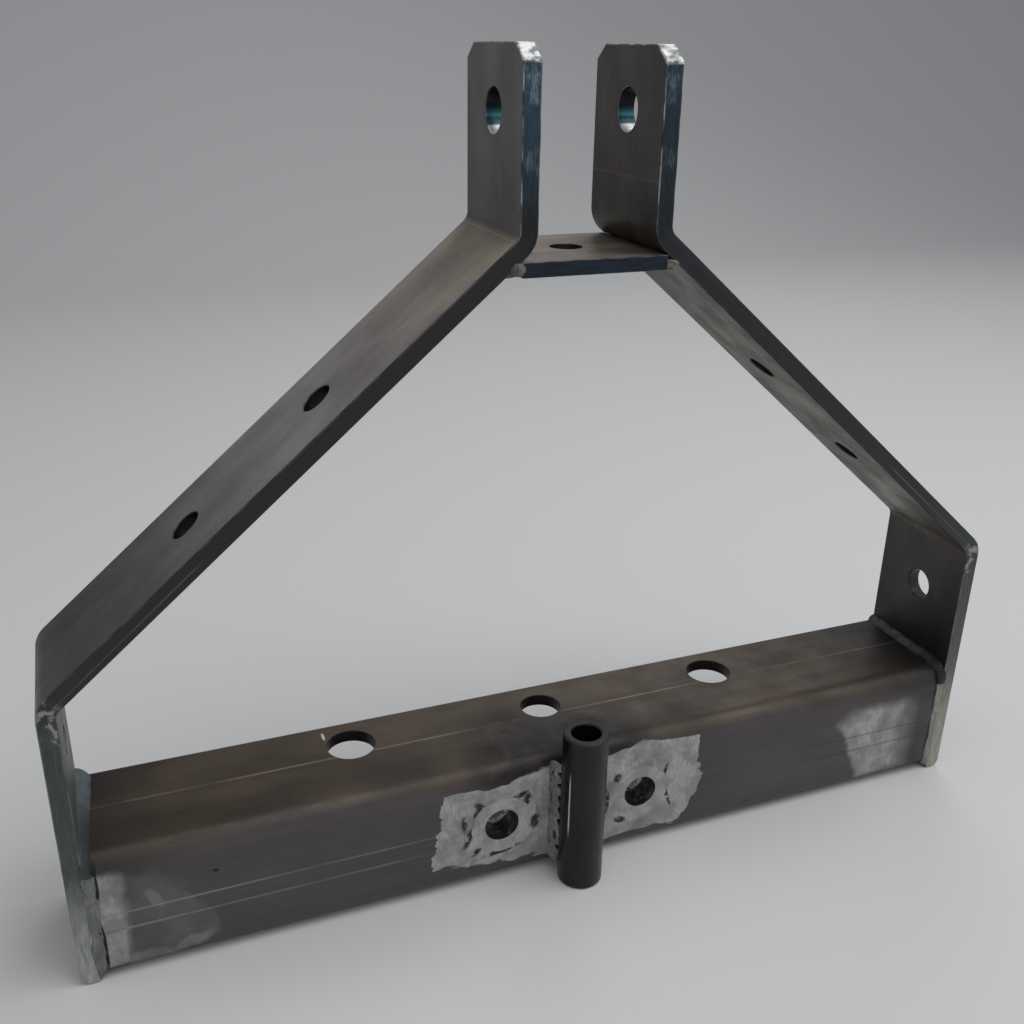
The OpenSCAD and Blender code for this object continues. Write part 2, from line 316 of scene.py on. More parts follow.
def ring_cap(side):
    """The groove weld round a bushing, sanded nearly flush. Its cap rises over the channel's front by a squared
    sine across its width, with seeded swells round it; each void sinks it by the square root of one less the
    squared distance in the void's own radii. Behind, its section follows the groove that it fills."""
    s = sizes()
    draw = np.random.default_rng(130 + side)
    turn = np.linspace(0, 2 * np.pi, 320, endpoint=False)[None, :]
    swell = sum(draw.uniform(0.3, 1) * np.sin(k * turn + draw.uniform(0, 6.3)) for k in range(2, 15)) / 4
    share = np.linspace(0, 1, 40)[:, None]
    radius = 14.2 * MM + (6.6 + 0.35 * swell) * MM * share
    x, z = side * s.bushing_x + radius * np.cos(turn), s.bushing_height + radius * np.sin(turn)
    rise = 0.34 * MM * np.sin(np.pi * share) ** 2 * (1 + 0.3 * swell) - 0.04 * MM
    spot = np.array(VOIDS)[:, :, None, None]
    dx, dz = x / MM - spot[:, 0], z / MM - spot[:, 1]
    cos, sin = np.cos(spot[:, 4]), np.sin(spot[:, 4])
    wide, tall = 1.12 * spot[:, 2], 1.12 * spot[:, 3]
    far = ((dx * cos - dz * sin) / wide) ** 2 + ((dx * sin + dz * cos) / tall) ** 2
    far = far + 0.25 * np.sin(dx * 2.1 + 3 * dz) * np.sin(dz * 2.7 - dx)
    pit = np.sqrt(np.clip(1 - far, 0, 1)).max(0)
    front = np.stack([x, s.front - rise + 0.3 * MM * pit * np.sin(np.pi * share), z], -1)
    groove = [[20.6, 0.25], [18.6, 0.3], [16.1, 4.0], [15.9, 4.0], [15.9, 0.3], [14.3, 0.25]]
    ring = np.array(groove)[:, :, None] * MM
    behind = np.stack([side * s.bushing_x + ring[:, 0] * np.cos(turn), s.front + ring[:, 1] + 0 * turn,
                       s.bushing_height + ring[:, 0] * np.sin(turn)], -1)
    return skin(np.concatenate([front, behind]), "ring_cap", looped=True)


def weld(name, material, node, side, *args, **settings):
    """One bead on the right side, or mirrored on the left, in place of its CAD node."""
    grid, run = bead(*args, **settings)
    grid = grid * np.array([side, 1, 1])
    mesh = skin(grid, name)
    ends = [run[0].mean(0)[None], run[-1].mean(0)[None]]
    write(mesh, "run", np.concatenate([run.reshape(-1, 3), *ends]), "FLOAT_VECTOR")
    return show(mesh, name, material, "weld_metal", node)


# Finishes

# The setting that a second word in a node's kind gives
WORDS = {"Math": "operation", "VectorMath": "operation", "MixRGB": "blend_type",
         "MapRange": "interpolation_type", "Mapping": "vector_type"}
# Distances along the unrolled bar, m: its length, its slanted arm, and the start of its ear
BAR_RUN, ARM_RUN, EAR_RUN = 0.48, (0.15, 0.4), 0.42
# Tones along the unrolled bar, m: of its faces, holding painted light and shade with the scale's own tone, and of
# its sheared edges
FACE_TONES_LIT_AND_SHADED = {LEFT: ((0, "646968"), (0.13, "5f6362"), (0.16, "404444"), (0.19, "4d5050"), (0.22, "6e6d6d"),
                (0.26, "8c8887"), (0.33, "918c8a"), (0.37, "a0968a"), (0.4, "a39888"), (0.41, "63615f"),
                (0.43, "60605f"), (0.48, "6f6e6d")),
         RIGHT: ((0, "2a2829"), (0.072, "201e1f"), (0.09, "302e2f"), (0.13, "434142"), (0.15, "50483e"),
                 (0.18, "494540"), (0.3, "4b474a"), (0.39, "45413b"), (0.41, "3d3937"), (0.43, "534e4c"),
                 (0.48, "595452"))}
EDGES = {LEFT: ((0, "a0a29e"), (0.03, "8c8f8b"), (0.06, "484e4a"), (0.13, "3d433f"), (0.15, "171a1a"),
                (0.24, "0b0d0e"), (0.4, "0a0d10"), (0.415, "10171c"), (0.44, "223846"), (0.475, "2b4453")),
         RIGHT: ((0, "9d9a8f"), (0.035, "929084"), (0.07, "5a5956"), (0.125, "424447"), (0.15, "202629"),
                 (0.2, "0d1113"), (0.4, "0c1117"), (0.415, "141b20"), (0.44, "17262f"), (0.475, "1f313b"))}
# Lines along the bends, the dark ones painted shade in the bends' creases, and an old handling mark: place in m,
# half width in mm, tone, strength
BEND_LINES_SHADE_AND_MARK = {LEFT: ((0.4035, 0.3, "b0a48c", 0.4), (0.4085, 1.4, "3a3634", 0.4), (0.1375, 0.8, "2c2f2f", 0.5)),
           RIGHT: ((0.4280, 0.2, "857858", 0.3), (0.1450, 0.8, "2a2826", 0.6))}
# Tones up the walls of the ears' holes: painted light low down, painted shade above, with a painted highlight band
# partway up
EAR_HOLE_LIT_AND_SHADED = ((0, "eceeed"), (0.09, "dfe3e3"), (0.17, "26383e"), (0.3, "1f3840"), (0.36, "4a8290"),
            (0.45, "2c5560"), (0.56, "15191b"), (1, "0c0d0e"))
# Top and bottom edges of the sanded patches, mm: x, z; and the disc's pressure: x, share
REACH = 240
TOPS = ((-229, 61), (-213, 58), (-208, 55), (-198, 53), (-190, 44), (-179, 30), (-172, 0), (-77, 0), (-76, 16),
        (-70, 38), (-69.2, 58.7), (-60, 59.3), (-48, 56), (-37, 55.6), (-24, 59.9), (24, 62.2), (45, 60.9),
        (72.8, 59.3), (73.3, 42), (76.7, 36), (77.5, 0), (154, 0), (157, 50), (169, 56), (206, 56), (220, 54),
        (229, 50))
FEET = ((-229, 1), (-178, 9), (-76, 14), (-60, 13.8), (-38, 11.5), (-12, 7), (20, 9.7), (43, 8.2), (62, 9),
        (65, 14), (77, 36), (156, 46), (163, 36), (170, 20), (178, 1), (229, -2))
PRESSED = ((-229, 0.8), (-215.5, 0.8), (-213, 0.16), (-178, 0.13), (-77, 1), (77.5, 1), (160, 0.6),
           (172, 0.95), (200, 0.9), (209, 0.25), (216, 0), (229, 0.1))
# Stray streaks of the disc, mm: x, z, two radii, turn, strength
STREAKS = ((-201.5, 39, 7, 3.2, 1.03, 0.32), (-187, 10.5, 9, 3.2, -0.3, 0.42), (-206, 7, 14, 5.0, 0.1, 0.4),
           (-203, 45, 12, 7, 0.2, 0.14))
# Burned scale round the sleeve's top, mm: centre, radii, strength
BURNS = (((-18, 17, 64), (32, 36, 25), 1.0), ((21, 15, 63), (21, 24, 16), 1.0), ((0, 14, 62), (40, 34, 26), 0.7))


def put(kind, *values, tree=None, stops=(), **settings):
    """Adds a node to a tree, or to that of the first node or socket given. The values fill its inputs in order, or
    by name from a dict: a node or socket is linked, a string is an sRGB hex colour, anything else is the input's
    own value. A second word in its kind is its operation, blend, interpolation or vector type."""
    kind, _, word = kind.partition(" ")
    named = values[0] if values and isinstance(values[0], dict) else dict(enumerate(values))
    tree = tree or next(value.id_data for value in named.values()
                        if isinstance(value, (bpy.types.Node, bpy.types.NodeSocket)))
    node = tree.nodes.new("ShaderNode" + kind)
    for key, value in (settings | ({WORDS[kind]: word} if word else {})).items():
        setattr(node, key, value)
    for key, value in named.items():
        value = value.outputs[0] if isinstance(value, bpy.types.Node) else value
        if isinstance(value, bpy.types.NodeSocket):
            tree.links.new(value, node.inputs[key])
        else:
            node.inputs[key].default_value = linear(value) if isinstance(value, str) else value
    for i, (position, tint) in enumerate(stops):
        element = node.color_ramp.elements[i] if i < 2 else node.color_ramp.elements.new(1)
        element.position, element.color = position, linear(tint) if isinstance(tint, str) else (tint, tint, tint, 1)
    return node


def finished(name, fill, *choices):
    """The material of a name, whose nodes a function puts in the first time."""
    if name not in bpy.data.materials:
        material = bpy.data.materials.new(name)
        material.use_nodes = True
        tree = material.node_tree
        tree.nodes.clear()
        fill(put("TexCoord", tree=tree).outputs["Object"], *choices)
    return bpy.data.materials[name]


def coat(under, over, *masks):
    """Lays one colour over another where every mask holds: by the product of the masks."""
    share = masks[0]
    for mask in masks[1:]:
        share = put("Math MULTIPLY", share, mask)
    return put("MixRGB", share, under, over)


def within(value, low, high, soft):
    """1 where a value lies between two bounds, falling off over a soft distance outside them."""
    rise = put("MapRange SMOOTHSTEP", value, low - soft, low)
    fall = put("MapRange SMOOTHSTEP", value, high, high + soft, 1.0, 0.0)
    return put("Math MULTIPLY", rise, fall)


def cloud(where, size, low=0.35, high=0.65, stretch=(1, 1, 1), detail=4, rough=0.55):
    """Cloudy mask with features of a real size in metres, drawn out by a stretch along each axis."""
    moved = put("Mapping", {"Vector": where, "Scale": [1 / (size * s) for s in stretch]})
    noise = put("TexNoise", {"Vector": moved, "Scale": 1.0, "Detail": detail, "Roughness": rough})
    return put("MapRange SMOOTHSTEP", noise, low, high)


def mark(where, place, radii, turn=0.0, soft=0.25):
    """1 inside an ellipsoid of given place and radii in mm, turned about the depth axis."""
    local = put("Mapping TEXTURE", {"Vector": where, "Location": [v * MM for v in place],
                                    "Rotation": (0, turn, 0), "Scale": [v * MM for v in radii]})
    far = put("VectorMath LENGTH", local).outputs["Value"]
    return put("MapRange SMOOTHSTEP", far, 1 + soft, 1 - soft)


def close_up(colour, rough, metal, height, relief):
    """The shader: colour, roughness and metalness by map, and a height in metres as bump."""
    bump = put("Bump", {"Height": height, "Distance": relief, "Strength": 1.0})
    shader = put("BsdfPrincipled", {"Base Color": colour, "Roughness": rough, "Metallic": metal,
                                    "Normal": bump})
    put("OutputMaterial", {"Surface": shader})


def mill_scale(where, pale, dark, brown, hazy=0.5, streaky=0.1):
    """Oxide skin left by hot rolling: cloudy blue-grey, drawn out along the bar, with a share of brown haze, a
    share of streaks and fine grain. Returns its colour, roughness and height."""
    tones = coat(dark, pale, cloud(where, 0.030, 0.3, 0.7, (1.8, 1, 1)))
    colour = coat(tones, brown, cloud(where, 0.065, 0.42, 0.72, (1.5, 1, 1), 5, 0.6), hazy)
    drawn = cloud(where, 0.0022, 0.2, 0.8, (50, 1, 1), 3)
    grain = cloud(where, 0.0009, 0.2, 0.8, (1, 1, 1), 2)
    for fine, strength in ((drawn, streaky), (grain, 0.08)):
        tint = put("MapRange", fine, 0, 1, 1 - strength, 1 + strength)
        colour = put("MixRGB MULTIPLY", 1.0, colour, tint)
    rough = put("MapRange", cloud(where, 0.018, 0.3, 0.7), 0, 1, 0.40, 0.56)
    return colour, rough, put("Math MULTIPLY_ADD", grain, 0.6, drawn)


def rolled_bar(real, side):
    """Hot rolled flat bar, sheared along both edges: mill scale on the faces, whose tones along each bar hold
    painted light and shade, with painted shade in the bends' creases; blue-black sheared edges with a paler line
    along their middle, steel shining through on worn arrises, drilled holes with bare steel walls painted with light
    and shade, and disc-ground corners on the ears with a painted highlight. Patterns follow the unrolled bar."""
    s = sizes()
    where = put("Attribute", tree=real.id_data, attribute_name="bar").outputs["Vector"]
    run, depth, offset = put("SeparateXYZ", where).outputs
    share = put("Math MULTIPLY", run, 1 / BAR_RUN)
    wobble = cloud(where, 0.012, 0.2, 0.8)
    on_arm = within(run, *ARM_RUN, 0.012)
    # The faces' tones hold painted light and shade: the left bar lighter along its arm, as lit, the right bar darker
    # on its leg and arm, as shaded
    pale, lip = (put("ValToRGB", share, stops=[(at / BAR_RUN, code) for at, code in tones[side]])
                 for tones in (FACE_TONES_LIT_AND_SHADED, EDGES))
    dark = put("MixRGB MULTIPLY", 1.0, pale, (0.6, 0.6, 0.62, 1))
    face, skin_rough, height = mill_scale(where, pale, dark, colours().brown, 0.28, 0.05)
    face = coat(face, "6f6c48", cloud(where, 0.05, 0.46, 0.6, (1.6, 0.6, 1)),
                within(depth, s.front + 0.018, s.front + 0.040, 0.012), within(run, 0.16, 0.39, 0.03),
                put("MapRange", offset, -1 * MM, 2 * MM, 1.0, 0.3), 0.12 if side == LEFT else 0.7)
    # Painted shade in the bends' creases, a paler line by the left upper bend, and the handling mark
    for place, half, code, strength in BEND_LINES_SHADE_AND_MARK[side]:
        face = coat(face, code, within(run, place - half * MM, place + half * MM, 0.5 * MM),
                    put("MapRange", wobble, 0, 1, 0.6 * strength, strength))
    # Sheared edges, front and back
    back_face = s.front + s.bar_width
    sheared = put("Math MAXIMUM",
                  put("MapRange SMOOTHSTEP", put("Math MULTIPLY_ADD", wobble, 0.12 * MM, depth),
                      s.front + 1.0 * MM, s.front + 0.5 * MM),
                  put("MapRange SMOOTHSTEP", depth, back_face - 0.9 * MM, back_face - 0.4 * MM))
    tear = cloud(where, 0.0014, 0.3, 0.7, (6, 1, 1.2), 5)
    lip = put("MixRGB MULTIPLY", 1.0, lip, put("MapRange", tear, 0, 1, 0.78, 1.22))
    lip = coat(lip, "8fa0a8", cloud(where, 0.0045, 0.5, 0.66, (2.5, 1, 1), 4), swirls(real),
               put("MapRange", run, 0.41, 0.47, 0.0, 0.9 if side == LEFT else 0.5),
               put("Math SUBTRACT", 1.0, on_arm))
    lip = coat(lip, "5c5a48", within(offset, -0.9 * MM, -0.5 * MM, 0.5 * MM),
               cloud(where, 0.02, 0.35, 0.6, (2, 1, 1)), within(run, 0.12, 0.22, 0.03), 0.5)
    lip = coat(lip, "a5a39c", within(run, 0.128, 0.142, 0.006), cloud(where, 0.004, 0.46, 0.6), 0.7)
    colour = coat(face, lip, sheared)
    # Worn arrises, brighter on the ears
    on_ear = put("Math GREATER_THAN", run, EAR_RUN)
    edge = put("Attribute", tree=real.id_data, attribute_name="edge").outputs["Fac"]
    colour = coat(colour, coat("8e9090", "c3ced0", on_ear), edge,
                  cloud(where, 0.006, 0.4, 0.62, (2, 1, 1)),
                  put("MapRange", within(run, *ARM_RUN, 0.01), 0, 1, 0.8, 0.2))
    # Ground corners of the ear, past a slanted plane: bare ground steel with a painted highlight, near white
    slant = put("VectorMath DOT_PRODUCT", real, (0, -0.6, 0.8)).outputs["Value"]
    limit = (s.top - 6 * MM) * 0.8 - s.front * 0.6
    slant = put("Math MULTIPLY_ADD", cloud(real, 0.009, 0.3, 0.7), -0.6 * MM, slant)
    ground = put("MapRange SMOOTHSTEP", slant, limit - 1.5 * MM, limit - 0.7 * MM)
    glare = coat("767a79", "e4e5e2", cloud(real, 0.0035, 0.38, 0.6))
    colour = coat(colour, glare, ground)
    # Drilled bores, their walls painted with light and shade: the arm holes near black as shade, the left leg's hole
    # pale as light through it, the right leg's dark grey, the ears' holes by height
    bore = put("Attribute", tree=real.id_data, attribute_name="bore").outputs["Fac"]
    level = put("MapRange", put("SeparateXYZ", real).outputs[2],
                s.top - (PIN_DROP + PIN_R) * MM, s.top - (PIN_DROP - PIN_R) * MM)
    lower = coat("242323", "85827a" if side == LEFT else "3a3938", put("Math LESS_THAN", run, 0.14))
    wall = coat(lower, put("ValToRGB", level, stops=EAR_HOLE_LIT_AND_SHADED), on_ear)
    colour = coat(colour, wall, bore)
    bare = put("Math MAXIMUM", bore, put("Math MULTIPLY", ground, 0.25))
    dull = put("MapRange", put("Math MULTIPLY", sheared, on_arm), 0, 1, 0.3, 0.0)
    metal = put("Math MAXIMUM", dull, put("Math MULTIPLY", bare, 0.8))
    rough = coat(skin_rough, (0.34, 0.34, 0.34, 1), bare)
    rough = coat(rough, put("MapRange", tear, 0, 1, 0.30, 0.5), sheared)
    height = coat(height, put("Math MULTIPLY", tear, 2.0), sheared)
    close_up(colour, rough, metal, height, 0.06 * MM)


def sanded(real):
    """Mask of where the sanding disc has bared the channel's front, with a torn edge. One curve along the channel
    gives the patches' top edge and one their bottom edge, in tenths of a metre. The mask rises over a soft
    distance inside both, and is multiplied by the disc's pressure; stray streaks are added."""
    tear, stroke = (
        put("TexNoise", {"Vector": put("Mapping", {"Vector": real, "Rotation": (0, turn, 0), "Scale": scale}),
                         "Scale": 1.0, "Detail": detail})
        for turn, scale, detail in ((0.6, (95, 95, 35), 3.0), (0.85, (40, 40, 210), 2.0)))
    shift = put("VectorMath SUBTRACT", tear.outputs["Color"], (0.5, 0.5, 0.5))
    torn = put("VectorMath MULTIPLY_ADD", shift, (0.007, 0, 0.006), real)
    real_x, real_y, _ = put("SeparateXYZ", real).outputs
    calm = put("MapRange", put("Math ABSOLUTE", real_x), 0.1, 0.14, 2.6 * MM, 0.5 * MM)
    stroke = put("Math MULTIPLY", put("MapRange", stroke, 0.3, 0.7, -1.0, 1.0), calm)
    torn = put("VectorMath MULTIPLY_ADD", (1, 0, 1), stroke, torn)
    x, _, z = put("SeparateXYZ", torn).outputs
    along = put("MapRange", x, -REACH * MM, REACH * MM)
    top, foot, press = (put("ValToRGB", along, stops=[((p + REACH) / (2 * REACH), v / part) for p, v in curve])
                        for curve, part in ((TOPS, 100), (FEET, 100), (PRESSED, 1)))
    high = put("Math MULTIPLY", z, 10.0)
    both = put("Math MINIMUM", put("Math SUBTRACT", top, high), put("Math SUBTRACT", high, foot))
    soft = put("Math ADD", put("MapRange", put("Math ABSOLUTE", x), 0.1, 0.14, 0.010, 0.055),
               put("MapRange", x, 0.1, 0.15, 0.0, 0.045))
    mask = put("MapRange SMOOTHSTEP", both, 0.0, soft)
    smear = put("MapRange", cloud(torn, 0.009, 0.3, 0.6, (1, 1, 2.5)), 0, 1, 0.7, 1.0)
    for factor in (press, smear):
        mask = put("Math MULTIPLY", mask, factor)
    for at_x, at_z, wide, tall, turn, strength in STREAKS:
        streak = mark(torn, (at_x, 11.1, at_z), (wide, 20, tall), turn, 0.5)
        mask = put("Math MAXIMUM", put("Math MULTIPLY", streak, strength), mask)
    return put("Math MULTIPLY", mask, put("MapRange", real_y, 16 * MM, 12.5 * MM))


def swirls(real):
    """Scratches of the sanding disc: bent streaks a millimetre or so apart, drawn coarser than real grit."""
    bent = put("TexNoise", {"Vector": real, "Scale": 30.0, "Detail": 1.0})
    turned = put("VectorMath MULTIPLY_ADD", bent.outputs["Color"], (0.03, 0, 0.03), real)
    return cloud(turned, 0.0008, 0.2, 0.8, (1, 1, 7), 3)


def sanded_steel(real):
    """Bare steel under the sanding disc: bright and grey scratches, with murkier areas. Returns its colour and
    the scratches."""
    scratches = swirls(real)
    silver = coat("9c9b99", colours().ground, scratches)
    return coat(silver, "78777a", cloud(real, 0.011, 0.38, 0.62, (1, 1, 1), 3), 0.55), scratches


def channel_finish(real):
    """Hot rolled and formed channel: brown scale on the flanges, purple-grey on the web, die lines along it, bare
    sanded patches round the bushings and at both ends with dark weld voids, and burned scale round the sleeve."""
    x, y, z = put("SeparateXYZ", real).outputs
    wobble = cloud(real, 0.02, 0.2, 0.8, (3, 1, 1))
    level = put("Math MULTIPLY_ADD", wobble, 5 * MM, z)
    flange = put("MapRange SMOOTHSTEP", level, 58 * MM, 69 * MM)
    # Painted shade: the web darker towards its bottom, where it turns under
    skirt = coat(colours().web, "484547", put("MapRange SMOOTHSTEP", level, 24 * MM, 6 * MM))
    colour, rough, height = mill_scale(real, coat(skirt, colours().flange, flange),
                                       coat("4b4649", "3e352b", flange), "5a5040", 0.22, 0.08)
    # Scale crushed darker along the flange, just behind the formed corner
    crushed = put("Math MULTIPLY", within(y, 20 * MM, 30 * MM, 8 * MM),
                  put("MapRange", level, 62 * MM, 67 * MM))
    colour = put("MixRGB MULTIPLY", crushed, colour, (0.76, 0.74, 0.72, 1))
    # Scale darkened by the welds at the ends
    reach = put("Math ABSOLUTE", x)
    heat = put("MapRange SMOOTHSTEP", put("Math MULTIPLY_ADD", wobble, 12 * MM, reach),
               190 * MM, 236 * MM)
    far_end = put("Math MULTIPLY", put("MapRange SMOOTHSTEP", x, 140 * MM, 222 * MM, 0, 0.85),
                  put("MapRange", level, 48 * MM, 66 * MM))
    heat = put("Math MAXIMUM", put("Math MULTIPLY", heat, 0.65), far_end)
    colour = coat(colour, "242122", heat)
    # Die lines: two along the web, one along the top flange
    web = put("MapRange", y, 16 * MM, 12 * MM)
    pair = put("Math MAXIMUM", within(z, 35.0 * MM, 35.4 * MM, 0.6 * MM),
               within(z, 26.1 * MM, 26.5 * MM, 0.6 * MM))
    top_line = put("Math MULTIPLY", within(y, 46.8 * MM, 47.4 * MM, 0.6 * MM), flange)
    lines = put("Math MAXIMUM", put("Math MULTIPLY", pair, web), top_line)
    lines = put("Math MULTIPLY", lines, cloud(real, 0.03, 0.3, 0.6, (3, 1, 1)))
    die = coat("a09e98", "3a3737", put("MapRange", x, -0.05, 0.1))
    colour = coat(colour, coat(die, "9a8e76", flange), lines, 0.6)
    ash = cloud(real, 0.012, 0.12, 0.6)
    for spot, radii, strength in BURNS:
        colour = coat(colour, "140e0b", mark(real, spot, radii, soft=0.6), ash, strength)
    # Scratch and pit
    colour = coat(colour, "d8d4c8", mark(real, (-113.1, 66.4, 66.7), (0.7, 3.2, 2)))
    colour = coat(colour, "161414", mark(real, (-174.6, 11, 46.5), (1.4, 2, 0.8)))
    # Sanded patches, with voids in the welds round the bushings
    bare = sanded(real)
    silver, scratches = sanded_steel(real)
    voids = None
    for at_x, at_z, wide, tall, turn in VOIDS:
        void = mark(real, (at_x, 11.1, at_z), (wide, 6, tall), turn, 0.35)
        voids = put("Math MAXIMUM", voids, void) if voids else void
    voids = put("Math MULTIPLY", voids, cloud(real, 0.003, 0.34, 0.48, (1, 1, 1), 3))
    silver = coat(silver, "29282a", voids)
    silver = coat(silver, "4a4849", lines, put("MapRange", reach, 0.12, 0.14, 0, 0.45))
    colour = coat(colour, silver, bare)
    # Undercut beside the end welds
    cut = within(put("Math MULTIPLY_ADD", wobble, 1.6 * MM, reach), 225.0 * MM, 226.6 * MM, 0.5 * MM)
    ragged = put("Math MULTIPLY", web, cloud(real, 0.009, 0.3, 0.5))
    colour = coat(colour, "151312", cut, ragged)
    # Hole walls painted dark as shade
    colour = coat(colour, "2a2520", put("Attribute", tree=real.id_data, attribute_name="bore").outputs["Fac"])
    rough = coat(rough, put("MapRange", scratches, 0, 1, 0.36, 0.5), bare)
    metal = put("MapRange", bare, 0, 1, 0.3, 0.4)
    height = coat(put("Math MULTIPLY_ADD", lines, -1.5, height), scratches, bare)
    height = put("Math MULTIPLY_ADD", voids, -5.0, height)
    close_up(colour, rough, metal, height, 0.06 * MM)


def plate_finish(real):
    """Sawn piece of hot rolled plate: brown-grey scale on top, blue-black sawn front edge."""
    s = sizes()
    y = put("SeparateXYZ", real).outputs[1]
    colour, rough, height = mill_scale(real, colours().plate, "695f56", "6b5b47")
    blue = coat("070d15", "142538", cloud(real, 0.0011, 0.3, 0.7, (12, 1, 1), 3))
    colour = coat(colour, blue, put("MapRange", y, s.front + 1.1 * MM, s.front + 0.5 * MM))
    colour = coat(colour, "7f8a90", put("Attribute", tree=real.id_data, attribute_name="edge").outputs["Fac"],
                  cloud(real, 0.006, 0.35, 0.6), 0.5)
    # Hole wall painted dark as shade
    colour = coat(colour, "1c1a19", put("Attribute", tree=real.id_data, attribute_name="bore").outputs["Fac"])
    close_up(colour, rough, 0.35, height, 0.06 * MM)


def tube_finish(real):
    """Cold drawn tube: dark grey skin, finely drawn along its length, with a soft gloss and a dull sawn top. Painted
    shade darkens its left side and painted light brightens its right; a painted highlight runs along its left and
    its bore is painted near black as shade."""
    x, y, z = put("SeparateXYZ", real).outputs
    drawn = cloud(real, 0.0011, 0.25, 0.75, (1, 1, 40), 3)
    colour = coat("1c1a1d", colours().tube, cloud(real, 0.014, 0.3, 0.7, (1, 1, 2)))
    # Fine drawn streaks, and painted shade on the left with painted light on the right
    for shade in (put("MapRange", drawn, 0, 1, 0.86, 1.14),
                  put("MapRange", x, -10 * MM, 10 * MM, 0.45, 1.6)):
        colour = put("MixRGB MULTIPLY", 1.0, colour, shade)
    top = put("MapRange", z, 84.0 * MM, 85.0 * MM)
    colour = coat(colour, "2b2a2a", top)
    # The bore painted near black as shade
    colour = coat(colour, "0e0d0e", put("Attribute", tree=real.id_data, attribute_name="bore").outputs["Fac"])
    colour = coat(colour, "26211f", put("MapRange", y, 2 * MM, 8 * MM), 0.5)
    # A painted highlight: a thin near-white line along the tube, with raised metalness, at a bearing round it in
    # radians
    line = within(put("Math ARCTAN2", x, y), -2.075, -2.045, 0.035)
    for factor in (within(z, 38 * MM, 60 * MM, 9 * MM), 0.8):
        line = put("Math MULTIPLY", line, factor)
    colour = coat(colour, "e9e9e9", line)
    rough = put("MapRange", cloud(real, 0.01, 0.3, 0.7), 0, 1, 0.24, 0.34)
    rough = put("Math MULTIPLY_ADD", top, 0.35, rough)
    metal = put("Math MULTIPLY", put("MapRange", line, 0, 1, 0.4, 1.0),
                put("MapRange", top, 0, 1, 1.0, 0.3))
    close_up(colour, rough, metal, drawn, 0.012 * MM)


def turned_finish(real):
    """Turned steel bushing: front face sanded with the channel's, feed lines round its outside and thread in its
    bore, painted near black as shade, whose last turns are painted near white as light at the bore's far end."""
    s = sizes()
    y = put("SeparateXYZ", real).outputs[1]
    pitch = 2 * 3.14159 * MM
    feed = put("TexWave", {"Vector": real, "Scale": 1 / pitch, "Distortion": 0.3}, bands_direction="Y")
    face, scratches = sanded_steel(real)
    outside = coat("5c5a58", "7c7a78", cloud(real, 0.008, 0.3, 0.7))
    front = put("MapRange", y, s.front + 0.9 * MM, s.front + 0.3 * MM)
    # The thread painted near black as shade
    thread = coat(coat("0b0b0b", "262524", feed), "5a5855", cloud(real, 0.004, 0.5, 0.62))
    # Painted light at the bore's far end
    thread = coat(thread, "e6e6e2", put("MapRange", y, s.front + 12.6 * MM, s.front + 13.6 * MM),
                  cloud(real, 0.003, 0.34, 0.46))
    bore = put("Attribute", tree=real.id_data, attribute_name="bore").outputs["Fac"]
    colour = coat(coat(outside, face, front), thread, bore)
    rough = put("MapRange", scratches, 0, 1, 0.34, 0.48)
    close_up(colour, rough, 0.4, coat(feed, scratches, front), 0.08 * MM)


def weld_metal(real, rippled, warm):
    """Weld metal from a wire gun: grey-green silver with a painted highlight along its crown, darker towards its
    toes, with darker troughs between the ripples, burned darker along a smooth bead, brown and blue tempering, and
    bright spots of spatter with painted glints."""
    where = put("Attribute", tree=real.id_data, attribute_name="run").outputs["Vector"]
    along, round_it, ripple = put("SeparateXYZ", where).outputs
    # Painted highlight along the crown, darker towards the toes; also the bump's height with the ripples
    crest_and_painted_crown_light = put("Math MULTIPLY",
                put("MapRange", ripple, -0.6, 0.4, 0.6 * (1 - rippled), 0.5 + 0.5 * rippled),
                put("MapRange", put("Math ABSOLUTE", round_it), 0.1, 0.85, 1.0, 0.35))
    soot = cloud(real, 0.005, 0.42, 0.66, (1, 1, 1), 4)
    colour = coat(coat("3a403f", colours().weld, crest_and_painted_crown_light), "2c2b29", soot, 0.85 - 0.2 * rippled)
    temper = put("ValToRGB", cloud(real, 0.009, 0.3, 0.7),
                 stops=((0, "6a5a3c"), (0.5, "6f7675"), (1, "4c5a68")))
    colour = coat(colour, temper, 0.25)
    burnt = put("MapRange", along, 0.025, 0.062, 0, 0.8 if rippled < 0.5 else 0.0)
    colour = coat(colour, "1b1d1e", burnt)
    colour = coat(colour, "94826f", cloud(real, 0.0019, 0.4, 0.62), warm)
    # Bright spots: spatter with painted glints
    spatter_and_glints = cloud(real, 0.003, 0.86 - 0.2 * rippled, 0.92 - 0.2 * rippled, (1, 1, 1), 1)
    fine = cloud(real, 0.0012, 0.2, 0.8, (1, 1, 1), 3)
    close_up(coat(colour, "cfd3cf", spatter_and_glints), put("MapRange", soot, 0, 1, 0.30, 0.6), 0.7,
             put("Math MULTIPLY_ADD", crest_and_painted_crown_light, 0.5, fine), 0.12 * MM)


